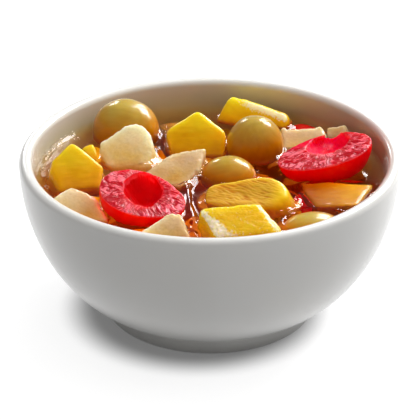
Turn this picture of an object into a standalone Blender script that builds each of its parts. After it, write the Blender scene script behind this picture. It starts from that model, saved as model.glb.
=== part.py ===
"""Fruit salad in syrup, in a small white porcelain bowl on a turned foot.

The bowl is one turned shell. Syrup fills it to a level a little under the lip, and
diced peach, pear and pineapple, whole peeled grapes and stoned cherry halves lie in
its surface. Every piece of fruit is a solid of its own, and the syrup is cut round it.

The bowl's axis is +Z and its foot stands on z = 0. The side it is looked at from is -Y.
Sizes are in millimetres times MM.
"""

import math

import bmesh
import bpy
from mathutils import Euler, Matrix, Vector

MM = 0.001
NAME = "fruit_salad"

# A thin gap is left between pieces that touch, so that each stays a body of its own.
GAP = 0.3 * MM
MERGE_DISTANCE = 0.01 * MM

# The bowl, from the outside in.
RIM_RADIUS = 58.0 * MM
BOWL_HEIGHT = 52.0 * MM
LIP_THICKNESS = 4.0 * MM
FOOT_HEIGHT = 5.7 * MM
FOOT_RADIUS = 33.1 * MM
CREASE_RADIUS = 33.5 * MM
FOOT_RING_WIDTH = 4.4 * MM
FOOT_ROUNDING = 0.9 * MM
RECESS_DEPTH = 2.5 * MM
FLOOR_HEIGHT = 9.0 * MM
TURNING_STEPS = 48
LIP_STEPS = 6
WALL_STEPS = 8
OUTER_BULGE = 1.5
INNER_BULGE = 3.6

# The syrup stands this far below the top of the lip.
SYRUP_DROP = 8.7 * MM
SYRUP_LEVEL = BOWL_HEIGHT - SYRUP_DROP

# Rounded edges of the cut fruit, and the facets of the round fruit.
EDGE_SEGMENTS = 2
GRAPE_SEGMENTS = 16
GRAPE_RINGS = 10
CHERRY_SEGMENTS = 22
CHERRY_RINGS = 12
PIT_SEGMENTS = 14
PIT_RINGS = 8
SHARP_ANGLE = math.radians(40)

# A grape is this much narrower at its stalk end than at its middle, and flattened there.
GRAPE_NARROWING = 0.06
GRAPE_DIMPLE = 0.93
# A cherry is halved this far past its middle, as a share of its depth.
CHERRY_CUT = 0.02

COLOURS = {
    "porcelain": (0.86, 0.86, 0.85),
    "syrup": (0.42, 0.20, 0.05),
    "grape": (0.52, 0.40, 0.08),
    "pear": (0.80, 0.66, 0.38),
    "peach": (0.86, 0.52, 0.02),
    "pineapple": (0.88, 0.62, 0.08),
    "cherry": (0.72, 0.01, 0.03),
}
ROUGHNESS = {
    "porcelain": 0.12,
    "syrup": 0.05,
    "grape": 0.25,
    "pear": 0.35,
    "peach": 0.30,
    "pineapple": 0.40,
    "cherry": 0.20,
}


def clear_scene():
    """Remove every object that the file opened with."""
    for thing in list(bpy.data.objects):
        bpy.data.objects.remove(thing, do_unlink=True)


def new_collection(name):
    """Add a collection to the scene."""
    group = bpy.data.collections.new(name)
    bpy.context.scene.collection.children.link(group)
    return group


def new_material(name, stuff):
    """Make a piece's own material from what it is made of."""
    material = bpy.data.materials.new(name)
    material.use_nodes = True
    shader = material.node_tree.nodes["Principled BSDF"]
    shader.inputs["Base Color"].default_value = (*COLOURS[stuff], 1.0)
    shader.inputs["Roughness"].default_value = ROUGHNESS[stuff]
    shader.inputs["Metallic"].default_value = 0.0
    return material


def add_object(name, shape, group, stuff=None):
    """Turn a bmesh into an object in a collection, with its own material."""
    mesh = bpy.data.meshes.new(name)
    shape.to_mesh(mesh)
    shape.free()
    piece = bpy.data.objects.new(name, mesh)
    group.objects.link(piece)
    if stuff:
        mesh.materials.append(new_material(name + "_" + stuff, stuff))
    return piece


def round_off(piece):
    """Shade a piece smooth, apart from its real edges."""
    piece.data.shade_smooth()
    piece.data.set_sharp_from_angle(angle=SHARP_ANGLE)


def placement(at, turn):
    """Where a piece of fruit lies: its place in mm, and its turns about X, Y and Z in degrees."""
    turned = Euler([math.radians(angle) for angle in turn]).to_matrix().to_4x4()
    return Matrix.Translation(Vector(at) * MM) @ turned


# ---------------------------------------------------------------- bowl and syrup


def arc(centre, radius, start, end, steps):
    """Points on an arc in the XZ plane, from one angle to another in degrees."""
    points = []
    for step in range(steps + 1):
        angle = math.radians(start + (end - start) * step / steps)
        x = centre[0] + radius * math.cos(angle)
        z = centre[1] + radius * math.sin(angle)
        points.append((x, z))
    return points


def outer_wall():
    """The bowl's outside, from under the lip down to the crease above the foot."""
    top = BOWL_HEIGHT - LIP_THICKNESS / 2
    points = []
    for step in range(1, WALL_STEPS + 1):
        fall = math.sin(math.radians(90) * step / WALL_STEPS)
        reach = (1 - fall**2) ** (1 / OUTER_BULGE)
        x = CREASE_RADIUS + (RIM_RADIUS - CREASE_RADIUS) * reach
        points.append((x, top - (top - FOOT_HEIGHT) * fall))
    return points


def inner_wall(gap, level):
    """The bowl's inside or the syrup's outside, from the axis at the floor up to a level."""
    floor = FLOOR_HEIGHT + gap
    top = BOWL_HEIGHT - LIP_THICKNESS / 2
    reach = RIM_RADIUS - LIP_THICKNESS - gap
    highest = math.degrees(math.asin(1 - (level - floor) / (top - floor)))
    points = []
    for step in range(WALL_STEPS + 1):
        angle = math.radians(90 + (highest - 90) * step / WALL_STEPS)
        fall = math.sin(angle)
        points.append((reach * (1 - fall**2) ** (1 / INNER_BULGE), floor + (top - floor) * (1 - fall)))
    return points


def foot():
    """The foot ring and the shallow recess inside it, ending on the axis."""
    inside = FOOT_RADIUS - FOOT_RING_WIDTH
    points = arc((FOOT_RADIUS - FOOT_ROUNDING, FOOT_ROUNDING), FOOT_ROUNDING, 0, -90, 2)
    points += arc((inside + FOOT_ROUNDING, FOOT_ROUNDING), FOOT_ROUNDING, -90, -180, 2)
    points += [(inside - RECESS_DEPTH / 2, RECESS_DEPTH), (0.0, RECESS_DEPTH)]
    return points


def turned(name, profile, group, stuff):
    """Turn a profile about +Z."""
    shape = bmesh.new()
    ring = [shape.verts.new((x, 0.0, z)) for x, z in profile]
    for first, second in zip(ring, ring[1:]):
        shape.edges.new((first, second))
    piece = add_object(name, shape, group, stuff)
    screw = piece.modifiers.new("turn", "SCREW")
    screw.steps = TURNING_STEPS
    screw.render_steps = TURNING_STEPS
    screw.use_merge_vertices = True
    screw.merge_threshold = MERGE_DISTANCE
    screw.use_smooth_shade = True
    return piece


def build_bowl(group):
    """The porcelain bowl: inside, rounded lip, outside, foot and recess."""
    lip_radius = LIP_THICKNESS / 2
    lip_centre = (RIM_RADIUS - lip_radius, BOWL_HEIGHT - lip_radius)
    profile = inner_wall(0.0, lip_centre[1])[:-1]
    profile += arc(lip_centre, lip_radius, 180, 0, LIP_STEPS)
    profile += outer_wall()
    profile += foot()
    turned("bowl", profile, group, "porcelain")


def build_syrup(group, cutters, fruit):
    """Syrup up to its level, with a pocket round every piece of fruit."""
    profile = [(0.0, SYRUP_LEVEL)] + inner_wall(GAP, SYRUP_LEVEL)[::-1]
    syrup = turned("syrup", profile, group, "syrup")
    for piece in fruit:
        pocket = add_pocket_cutter(piece, cutters)
        cut = syrup.modifiers.new("pocket_" + piece.name, "BOOLEAN")
        cut.operation = "DIFFERENCE"
        cut.solver = "EXACT"
        cut.object = pocket
    return syrup


def add_pocket_cutter(piece, cutters):
    """A piece of fruit without its rounded edges and hollows, swollen by the gap."""
    shape = bmesh.new()
    shape.from_mesh(piece.data)
    shape.transform(piece.matrix_world)
    shape.normal_update()
    moves = [vert.normal * GAP * vert.calc_shell_factor() for vert in shape.verts]
    for vert, move in zip(shape.verts, moves):
        vert.co += move
    cutter = add_object("pocket_of_" + piece.name, shape, cutters)
    hide_cutter(cutter)
    return cutter


def hide_cutter(cutter):
    """Keep a cutter out of sight."""
    cutter.hide_render = True
    cutter.display_type = "WIRE"


# ---------------------------------------------------------------- cut fruit


def cut_piece(name, stuff, group, at, turn, outline, thick, slide=(0, 0), dish=0.0, edge=1.2):
    """A diced piece of fruit.

    The face that shows has the outline, in mm, and looks along the piece's own +Z. The
    back is that outline slid sideways by the slide. A dish hollows the face.
    """
    shape = bmesh.new()
    corners = bmesh.ops.create_circle(shape, cap_ends=True, radius=1.0, segments=len(outline))
    for vert, (x, y) in zip(corners["verts"], outline):
        vert.co = Vector((x, y, 0.0)) * MM
    back = bmesh.ops.extrude_face_region(shape, geom=shape.faces[:])["geom"]
    for vert in [part for part in back if isinstance(part, bmesh.types.BMVert)]:
        vert.co += Vector((*slide, -thick)) * MM
    bmesh.ops.recalc_face_normals(shape, faces=shape.faces[:])
    if dish:
        face = max(shape.faces, key=lambda side: side.calc_center_median().z)
        bmesh.ops.poke(shape, faces=[face], offset=-dish * MM)
    piece = add_object(name, shape, group, stuff)
    piece.matrix_world = placement(at, turn)
    bevel = piece.modifiers.new("soft_edges", "BEVEL")
    bevel.width = edge * MM
    bevel.segments = EDGE_SEGMENTS
    bevel.limit_method = "ANGLE"
    bevel.angle_limit = SHARP_ANGLE
    round_off(piece)
    return piece


def build_pears(group):
    """Cream-coloured diced pear."""
    return [
        cut_piece(
            "pear_left", "pear", group, at=(-26.5, 11.4, 49.2), turn=(42, 0, -10), thick=9.0,
            slide=(1.0, -5.0), edge=1.8,
            outline=[
                (-9.2, -0.5), (-1.0, 7.2), (3.5, 8.4), (7.6, 5.6), (9.2, 0.5), (8.0, -6.5), (-4.0, -8.0),
            ],
        ),
        cut_piece(
            "pear_front_left", "pear", group, at=(-37.6, -27.0, 47.4), turn=(30, 0, 15), thick=9.0,
            outline=[(-8.8, 3.6), (-1.9, 7.8), (4.8, 3.0), (7.4, -6.8), (-2.0, -6.5)],
        ),
        cut_piece(
            "pear_front", "pear", group, at=(-12.5, -38.8, 47.2), turn=(38, 0, 0), thick=6.0,
            slide=(0.0, -3.0),
            outline=[(-11.6, -4.8), (0.6, 4.6), (4.4, 4.4), (7.2, -3.5), (-1.0, -5.6)],
        ),
        cut_piece(
            "pear_middle", "pear", group, at=(-9.8, -0.4, 46.8), turn=(28, 0, 0), thick=8.0, edge=0.9,
            outline=[(8.9, 8.0), (-2.7, 5.4), (-10.5, -2.4), (-5.0, -6.5), (1.5, -8.0), (6.6, -1.0)],
        ),
        cut_piece(
            "pear_back_right", "pear", group, at=(30.0, 23.2, 45.4), turn=(28, 0, 0), thick=6.0, edge=0.9,
            outline=[(-7.5, 4.6), (-2.5, 4.0), (5.6, 5.2), (7.6, 1.0), (-3.0, -6.5), (-7.3, -4.5)],
        ),
        cut_piece(
            "pear_sliver", "pear", group, at=(40.8, 26.8, 46.8), turn=(45, 0, -20), thick=2.6, edge=0.6,
            outline=[(-4.0, 0.2), (1.8, 2.4), (3.8, -0.4), (2.6, -3.2), (-3.2, -3.2)],
        ),
    ]


def build_peaches(group):
    """Yellow peach, in dice, a wedge with its stone side up, and a slab that lies awash."""
    return [
        cut_piece(
            "peach_left", "peach", group, at=(-40.6, -3.6, 48.7), turn=(36, 0, 12), thick=12.0,
            outline=[(0.0, 9.2), (8.6, -0.6), (6.2, -8.2), (-6.4, -8.6), (-8.4, -1.0), (-7.0, 3.4)],
        ),
        cut_piece(
            "peach_sliver", "peach", group, at=(-37.0, 12.9, 45.0), turn=(35, 0, 10), thick=5.0, edge=0.8,
            outline=[(-2.6, 2.8), (1.2, 4.2), (2.4, -0.4), (1.2, -4.6), (-2.4, -3.6)],
            slide=(-1.0, 0.0),
        ),
        cut_piece(
            "peach_back", "peach", group, at=(-4.5, 19.4, 48.8), turn=(48, 0, 0), thick=13.0, edge=1.4,
            outline=[(0.6, 8.2), (9.6, 1.2), (9.0, -8.5), (-7.6, -8.0), (-9.8, 1.2)],
        ),
        cut_piece(
            "peach_back_right", "peach", group, at=(13.8, 39.4, 46.4), turn=(48, 0, -14), thick=7.5, edge=2.0,
            outline=[(-12.6, -4.0), (-8.6, 3.8), (-3.6, 5.4), (12.0, 1.8), (12.2, -4.0), (0.0, -6.0)],
        ),
        cut_piece(
            "peach_wedge", "peach", group, at=(8.0, -17.0, 47.8), turn=(24, 0, -18), thick=11.0, dish=1.6,
            slide=(4.5, -1.5), edge=2.0,
            outline=[
                (-10.2, 0.2), (1.4, 5.6), (8.0, 7.8), (13.0, 6.0), (15.4, 1.0), (13.0, -4.6), (-3.4, -7.0),
                (-9.4, -7.0),
            ],
        ),
        cut_piece(
            "peach_slab", "peach", group, at=(39.0, -13.4, 44.5), turn=(3, 0, 8), thick=6.0, edge=0.9,
            outline=[(-10.4, 8.0), (-1.2, 7.8), (11.6, 4.4), (4.0, -7.6), (-8.7, -7.0), (-10.8, 3.0)],
        ),
    ]


def build_pineapple(group):
    """The block of pineapple against the front wall."""
    return [
        cut_piece(
            "pineapple_front", "pineapple", group, at=(8.6, -36.2, 48.0), turn=(32, 0, 8), thick=9.0,
            slide=(-1.0, -3.0),
            outline=[(-11.6, 4.0), (-10.2, 4.8), (6.4, 5.4), (12.4, -4.6), (-7.6, -6.0)],
        ),
    ]


# ---------------------------------------------------------------- round fruit


def grape(name, group, at, turn, width, length):
    """A peeled grape: an egg-like body, a little dimpled where the stalk was."""
    shape = bmesh.new()
    bmesh.ops.create_uvsphere(shape, u_segments=GRAPE_SEGMENTS, v_segments=GRAPE_RINGS, radius=1.0)
    stalk_end = max(vert.co.z for vert in shape.verts)
    for vert in shape.verts:
        x, y, along = vert.co
        half_width = (1 - GRAPE_NARROWING * along) * width / 2
        half_length = length / 2 * (GRAPE_DIMPLE if along == stalk_end else 1.0)
        vert.co = Vector((x * half_width, y * half_width, along * half_length)) * MM
    piece = add_object(name, shape, group, "grape")
    piece.matrix_world = placement(at, turn)
    round_off(piece)
    return piece


def build_grapes(group):
    """Four grapes: one high against the back wall, two in the middle, one awash at the front."""
    return [
        grape("grape_back_left", group, at=(-26.8, 30.4, 45.2), turn=(80, 0, 70), width=19.8, length=21.5),
        grape("grape_middle", group, at=(14.2, 17.0, 46.6), turn=(20, 10, 0), width=17.8, length=18.6),
        grape("grape_small", group, at=(5.8, 1.6, 41.5), turn=(75, 0, 84), width=15.4, length=17.4),
        grape("grape_front_right", group, at=(30.3, -30.5, 38.0), turn=(80, 0, -72), width=16.6, length=22.0),
    ]


def cherry_half(name, group, cutters, at, turn, length, width, depth, taper, pit_at, pit_size, pit_turn):
    """Half a cherry, cut face up along its own +Z, with the hollow that the stone left.

    The taper narrows it towards its own +X.
    """
    shape = bmesh.new()
    bmesh.ops.create_uvsphere(shape, u_segments=CHERRY_SEGMENTS, v_segments=CHERRY_RINGS, radius=1.0)
    everything = shape.verts[:] + shape.edges[:] + shape.faces[:]
    cut = bmesh.ops.bisect_plane(
        shape, geom=everything, plane_co=(0, 0, CHERRY_CUT), plane_no=(0, 0, 1), clear_outer=True
    )["geom_cut"]
    rim = [part for part in cut if isinstance(part, bmesh.types.BMEdge)]
    bmesh.ops.contextual_create(shape, geom=rim)
    for vert in shape.verts:
        narrowing = 1 - taper * vert.co.x
        half_sizes = (length / 2, narrowing * width / 2, depth)
        vert.co = Vector(side * size for side, size in zip(vert.co, half_sizes)) * MM
    bmesh.ops.recalc_face_normals(shape, faces=shape.faces[:])
    piece = add_object(name, shape, group, "cherry")
    piece.matrix_world = placement(at, turn)

    stone = bmesh.new()
    bmesh.ops.create_uvsphere(stone, u_segments=PIT_SEGMENTS, v_segments=PIT_RINGS, radius=1.0)
    bmesh.ops.scale(stone, vec=Vector(pit_size) / 2 * MM, verts=stone.verts)
    cutter = add_object("stone_of_" + name, stone, cutters)
    cutter.matrix_world = piece.matrix_world @ placement(pit_at, pit_turn)
    hide_cutter(cutter)
    hollow = piece.modifiers.new("stone_hollow", "BOOLEAN")
    hollow.operation = "DIFFERENCE"
    hollow.solver = "EXACT"
    hollow.object = cutter
    round_off(piece)
    round_off(cutter)
    return piece


def build_cherries(group, cutters):
    """Two stoned cherry halves."""
    return [
        cherry_half(
            "cherry_left", group, cutters, at=(-19.8, -23.5, 49.2), turn=(12, 12, -14),
            length=26.0, width=19.6, depth=12.6, taper=0.14,
            pit_at=(-0.4, 2.4, 1.0), pit_size=(11.6, 15.6, 12.0), pit_turn=(0, 0, 10),
        ),
        cherry_half(
            "cherry_right", group, cutters, at=(35.2, 4.2, 50.0), turn=(0, -10.5, 16),
            length=30.0, width=20.0, depth=11.5, taper=-0.06,
            pit_at=(3.2, 4.0, 0.5), pit_size=(13.5, 10.5, 8.0), pit_turn=(0, 0, 12),
        ),
    ]


def main():
    clear_scene()
    group = new_collection(NAME)
    cutters = new_collection("cutters")
    build_bowl(group)
    fruit = build_pears(group)
    fruit += build_peaches(group)
    fruit += build_pineapple(group)
    fruit += build_grapes(group)
    fruit += build_cherries(group, cutters)
    bpy.context.view_layer.update()
    build_syrup(group, cutters, fruit)


main()
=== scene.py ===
"""Fruit salad in syrup, dressed for rendering: porcelain, syrup, and wet poached fruit.

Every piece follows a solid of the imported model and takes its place. Round pieces are
modelled from primitives. Diced pieces start from a merged copy of their solid, which is
rebuilt as a fine even skin and then given the relief of cut fruit. More fruit lies sunk in
the syrup, where it shows through.
"""

import itertools
import math
import random
from functools import partial

import bpy
import numpy as np
from bpy.props import FloatProperty, FloatVectorProperty, IntProperty, PointerProperty
from mathutils import Euler, Matrix, Vector, noise
from mathutils.bvhtree import BVHTree


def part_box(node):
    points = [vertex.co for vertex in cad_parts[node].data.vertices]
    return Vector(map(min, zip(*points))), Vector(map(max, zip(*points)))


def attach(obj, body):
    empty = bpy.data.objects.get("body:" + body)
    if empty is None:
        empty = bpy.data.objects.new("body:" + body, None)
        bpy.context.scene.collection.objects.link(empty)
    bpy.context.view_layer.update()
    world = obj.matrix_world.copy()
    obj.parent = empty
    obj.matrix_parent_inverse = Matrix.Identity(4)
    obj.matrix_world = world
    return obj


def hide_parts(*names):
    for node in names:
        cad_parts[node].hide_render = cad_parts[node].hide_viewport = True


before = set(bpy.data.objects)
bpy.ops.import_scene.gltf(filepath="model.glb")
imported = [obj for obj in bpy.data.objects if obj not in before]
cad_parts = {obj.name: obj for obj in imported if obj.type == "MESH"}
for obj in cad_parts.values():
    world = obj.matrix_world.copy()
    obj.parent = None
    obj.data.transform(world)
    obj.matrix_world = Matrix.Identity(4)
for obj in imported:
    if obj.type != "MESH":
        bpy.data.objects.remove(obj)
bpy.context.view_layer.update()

bl_info = {
    "name": "Fruit Salad in Syrup",
    "version": (1, 0, 0),
    "blender": (4, 5, 0),
    "location": "3D View > Sidebar > Salad",
    "description": "Models a small bowl of fruit salad in syrup around its packed solids",
    "category": "Object",
}

MM = 0.001
BODY = "root"

BOWL_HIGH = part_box("bowl")[1]
RIM_RADIUS = BOWL_HIGH.x
BOWL_HEIGHT = BOWL_HIGH.z
SYRUP_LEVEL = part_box("syrup")[1].z

# The fruit that stands out of the syrup, and how each piece lies: its turns about X, Y and Z in
# degrees, as its solid is turned. A name starts with the kind of fruit.
LIE = {
    "pear_left": (42, 0, -10),
    "pear_front_left": (30, 0, 15),
    "pear_front": (38, 0, 0),
    "pear_middle": (28, 0, 0),
    "pear_back_right": (28, 0, 0),
    "pear_sliver": (45, 0, -20),
    "peach_left": (36, 0, 12),
    "peach_sliver": (35, 0, 10),
    "peach_back": (48, 0, 0),
    "peach_back_right": (48, 0, -14),
    "peach_wedge": (24, 0, -18),
    "peach_slab": (3, 0, 8),
    "pineapple_front": (32, 0, 8),
    "grape_back_left": (80, 0, 70),
    "grape_middle": (20, 10, 0),
    "grape_small": (75, 0, 84),
    "grape_front_right": (80, 0, -72),
    "cherry_left": (12, 12, -14),
    "cherry_right": (0, -10.5, 16),
}

# Width and length of each grape, in mm.
GRAPE_SIZES = {
    "grape_back_left": (19.8, 21.5),
    "grape_middle": (17.8, 18.6),
    "grape_small": (15.4, 17.4),
    "grape_front_right": (16.6, 22.0),
}

# Each cherry half, in mm: its length, width and depth, how it narrows along its length, and
# where the hollow of its stone is, how large, how far it is turned, and how much of the face
# behind it is smooth, in degrees.
CHERRY_SIZES = {
    "cherry_left": ((26.0, 19.6, 12.6), 0.14, (-0.6, 2.1, 1.0), (11.9, 15.3, 12.0), 10, 44),
    "cherry_right": ((30.0, 20.0, 11.5), -0.06, (2.6, 4.2, 0.7), (14.5, 11.8, 8.5), 12, 130),
}

# Relief of each fruit in layers of noise: height, size of the lumps and seed, with lengths in mm.
# A size is one for all ways, or one along each of the piece's own axes.
RELIEF = {
    "peach": ((0.30, 6, 3.1), (0.06, (3.0, 1.4, 1.4), 7.7), (0.02, (2.4, 0.6, 0.6), 1.9)),
    "pear": ((0.30, 5, 2.3), (0.05, 1.5, 8.1), (0.04, 0.7, 6.6)),
    "pineapple": ((0.25, 5, 4.9), (0.14, (2.2, 1.2, 1.2), 2.8), (0.07, 0.6, 6.1)),
    "grape": ((0.22, 6, 0.0), (0.05, (1.6, 1.6, 7), 0.0)),
    "cherry": ((0.18, 4.5, 1.2), (0.05, 1.3, 3.3)),
}

# How the edges of cut fruit have worn: the depth, the size of the crumbs and the seed, with
# lengths in mm, and what is added to the crumbs' noise and what it is held under.
WEAR = {
    "peach": (0.12, 2.0, 5.3, 1.0, 2.0),
    "pear": (0.8, 1.5, 4.4, 0.15, 1.0),
    "pineapple": (0.60, (2.5, 1.1, 1.1), 9.2, 0.2, 1.0),
}

# How far syrup has soaked into a piece at its left and at its right, from 0 to 1, or more where it is dark
# with it; on some pieces it also paints shade. It browns pear and peach and turns grapes amber, and on a
# cherry it paints its hollow as lit.
SOAK_AND_PAINTED_LIGHT = {
    "pear_front_left": (0.3, 1.4),
    "pear_front": (0.0, 1.0),
    "pear_middle": (0.7, 0.8),
    "pear_back_right": (0.8, 0.7),
    "pear_sliver": (0.9, 0.9),
    "peach_left": (0.25, 0.1),
    "peach_slab": (1.0, 0.0),
    "peach_sliver": (0.4, 0.2),
    "peach_wedge": (0.1, 0.0),
    "grape_back_left": (0.3, 0.3),
    "grape_middle": (0.4, 0.4),
    "grape_small": (0.5, 0.5),
    "grape_front_right": (0.1, 0.3),
    "cherry_right": (1.0, 1.0),
}

# The colours of low flesh start this far under the syrup, and a piece as flat as the slab keeps them nearly
# to its top: its colours are spread over this height. These colours also paint light and shade, lighter
# where light falls from above and darker low down.
LOW_FLESH = 1.5 * MM
SLAB_SPREAD = 7.5 * MM

# What lies sunk in the syrup, by kind: where each piece's middle is from the bowl's axis, how
# deep its top is under the surface, its size and its turns in degrees. Lengths are in mm.
SUNKEN = {
    "peach": (
        ((-44, 22), 1.4, (14, 14, 12), (8, -6, 30)),
        ((-39, -12), 1.4, (13, 12, 12), (-8, 10, -10)),
        ((-27, -39), 2.0, (15, 9, 11), (10, 0, 25)),
    ),
    "pear": (
        ((-28, -4.5), 1.0, (13, 15, 11), (6, -8, 12)),
        ((45, 16), 3.0, (12, 14, 11), (-6, -10, 35)),
    ),
    "grape": (
        ((-10, 40), 3.5, (14, 13, 18), (80, 10, 85)),
        ((11, 31), 2.0, (13, 12, 15), (80, 10, 20)),
        ((46, -17), 3.5, (12, 12, 15), (80, 0, -50)),
        ((-3.5, 11.5), 3.0, (11, 7, 9), (0, 0, 10)),
    ),
    "cherry": (
        ((32, 37), 0.9, (14, 9, 10), (0, 6, -40)),
        ((18, -2), 2.2, (8, 13, 10), (0, 12, 5)),
        ((45, 1), 8.0, (11, 15, 12), (10, 0, 10)),
        ((29, -10), 6.2, (9, 13, 10), (0, -10, -20)),
    ),
}

# Under those lies a bed of more pieces, on rings with this radius in mm and this many pieces. The
# kinds take turns. Tops lie this deep, sizes vary in these limits, and turns up to this many
# degrees either way. Lengths are in mm.
BED = ((5, 2), (19, 7), (33, 11), (42, 13))
BED_KINDS = ("pear", "grape", "pear", "peach", "pear")
BED_DEPTH = (9.0, 11.0)
BED_SIZE = (12, 15)
BED_TURN = 25

# Ridges where syrup is drawn up over edges just under its surface: points in mm from the axis.
RIDGES = (
    ((-7.3, -8.0), (-6.4, -19.0), (-5.0, -29.0), (-4.3, -39.0)),
    ((-16.2, 31.0), (-16.4, 23.0), (-17.6, 14.0), (-19.0, 8.0), (-22.0, 4.5)),
)

# Bubbles in the syrup: their radii in mm, the stretch of wall where they gather, in degrees, and
# how far from it they reach in mm. One lies alone among the fruit, with this radius and place.
BUBBLE_RADII = (0.35, 0.95)
BUBBLE_WALL = (146, 205)
BUBBLE_REACH = 3.2
LONE_BUBBLE = (1.2, (-14.6, 34.5))

# The lamps: where each stands, its width and height in metres, the setting that gives its power
# and its share of it, and the kind of ray that doesn't see it. The windows only glint in what is
# wet, as their light is part of the matt ceiling's.
LAMPS = {
    "key_softbox": ((0.50, 0.54, 0.47), (0.26, 0.26), "key_power", 1.0, None),
    "window": ((0.35, 0.54, 0.60), (0.42, 0.24), "window_power", 1.0, "visible_diffuse"),
    "low_window": ((0.29, 0.79, 0.37), (0.18, 0.26), "strip_power", 1.0, "visible_diffuse"),
    "far_window": ((-0.29, 0.80, 0.33), (0.16, 0.16), "strip_power", 0.5, "visible_diffuse"),
    "ceiling_bounce": ((0.22, 0.18, 0.94), (1.5, 1.5), "ceiling_power", 1.0, "visible_glossy"),
}

# Settings of a Mix node that blends two colours, and of one that darkens the first by the second.
BLEND = {"data_type": "RGBA", "blend_type": "MIX"}
DARKEN = {"data_type": "RGBA", "blend_type": "MULTIPLY"}
WHITE = (1.0, 1.0, 1.0)


# ---------------------------------------------------------------- settings


def linear(code):
    """Turn an sRGB hex code such as #E6C400 into linear red, green and blue."""
    channels = [int(code[place : place + 2], 16) / 255 for place in (1, 3, 5)]
    return tuple(c / 12.92 if c <= 0.04045 else ((c + 0.055) / 1.055) ** 2.4 for c in channels)


def colour_setting(name, description, code):
    """A colour that a user may change, from its sRGB hex code."""
    return FloatVectorProperty(
        name=name, description=description, subtype="COLOR", size=3, min=0, max=1, default=linear(code)
    )


def number_setting(name, description, default, **kind):
    """A number that a user may change, with a unit or subtype where one fits."""
    return FloatProperty(name=name, description=description, default=default, **kind)


def length_setting(name, description, millimetres):
    """A length that a user may change."""
    return number_setting(name, description, millimetres * MM, unit="LENGTH", subtype="DISTANCE")


def angle_setting(name, description, degrees):
    """An angle that a user may change."""
    return number_setting(name, description, math.radians(degrees), unit="ROTATION", subtype="ANGLE")


def power_setting(name, description, watts):
    """A lamp's power that a user may change."""
    return number_setting(name, description, watts, unit="POWER", min=0)


def share_setting(name, description, share):
    """A share from 0 to 1 that a user may change."""
    return number_setting(name, description, share, subtype="FACTOR", min=0, max=1)


def count_setting(name, description, default, **limits):
    """A whole number that a user may change."""
    return IntProperty(name=name, description=description, default=default, **limits)


def cell_setting(millimetres):
    """The size of a rebuilt skin's faces."""
    return length_setting("Cell", "Size of the faces of the rebuilt skin", millimetres)


def rounding_setting(times):
    """How often a rebuilt skin is smoothed."""
    return count_setting("Rounding", "How often the edges are softened", times, min=1)


class BowlSettings(bpy.types.PropertyGroup):
    """The porcelain bowl's sizes and colour, the syrup that clings to its wall, and the shade and bounced
    light painted on that wall.
    """

    glaze: colour_setting("Glaze", "Colour of the white glaze", "#EAE9E6")
    lip: length_setting("Lip", "Thickness of the rounded lip", 4.0)
    foot_height: length_setting("Foot height", "Height of the crease above the foot", 5.7)
    foot_radius: length_setting("Foot radius", "Outer radius of the foot ring", 33.1)
    crease_radius: length_setting("Crease radius", "Radius where the wall meets the foot", 33.5)
    foot_width: length_setting("Foot ring width", "Width of the ring that the bowl stands on", 4.4)
    bead: length_setting("Bead", "Rounding of the foot ring's edges", 0.9)
    recess: length_setting("Recess", "Depth of the recess inside the foot ring", 2.5)
    floor: length_setting("Floor", "Height of the inside of the bowl at its middle", 9.0)
    # The film's tint also paints the inner wall's shade and the warm light bounced from the fruit.
    film: colour_setting("Film", "Tint of the thin film of syrup on the inner wall", "#D4D2A6")
    film_height: length_setting("Film height", "How high that film reaches above the syrup", 9.0)
    # This tint is painted red light, bounced from the cherry onto the wall beside it.
    blush: colour_setting("Blush", "Tint of that film beside the cherry at the right", "#CE8C7C")
    painted_red_bounce_place: angle_setting("Blush place", "Which way the blush lies from the middle", 10)
    painted_red_bounce_width: angle_setting("Blush width", "How far to each side the blush reaches", 38)
    facets: count_setting("Facets", "Steps around the bowl", 192, min=48)


class SyrupSettings(bpy.types.PropertyGroup):
    """The syrup's colour, how it clings, and its small waves."""

    tint: colour_setting("Tint", "Colour of light that has passed through the syrup", "#F0CA20")
    density: number_setting("Density", "How strongly the syrup colours light", 100.0, min=0)
    climb: length_setting("Climb", "How high the syrup climbs where it touches something", 1.9)
    reach: length_setting("Reach", "How far out that climb dies away", 1.9)
    swell: length_setting("Swell", "Height of the slow waves of the surface", 0.2)
    ridge: length_setting("Ridge", "Height of the ridges over sunken edges", 1.1)
    ridge_width: length_setting("Ridge width", "How far to each side a ridge reaches", 1.3)
    cover: length_setting("Cover", "How far the surface inside a piece stays under its top", 0.8)
    bubbles: count_setting("Bubbles", "Small bubbles along the wall", 34, min=0)


class PeachSettings(bpy.types.PropertyGroup):
    """Colours and skin of the peach pieces."""

    # From low to top the colours are partly the syrup's stain and partly painted light and shade: lighter
    # where light falls, darker low down.
    top: colour_setting("Top", "Flesh that stands clear of the syrup", "#F2D618")
    middle: colour_setting("Middle", "Flesh near the syrup", "#E8AE00")
    low: colour_setting("Low", "Flesh at and under the syrup", "#CA8206")
    # This tint also paints shade on pieces that stand in more light.
    soak_and_shade_tint: colour_setting("Soaked", "Tint of flesh that syrup has soaked into", "#A86824")
    stone_side: colour_setting("Stone side", "The wedge's side that lay against the stone", "#DCA840")
    # This pale colour is a painted highlight on the wet flesh.
    pale_and_highlit: colour_setting("Pale", "Wet band that is pale with light", "#F2E2B2")
    wrinkle: length_setting("Wrinkle", "Height of the folds on the wedge's stone side", 0.27)
    cell: cell_setting(0.28)
    rounding: rounding_setting(16)


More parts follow.
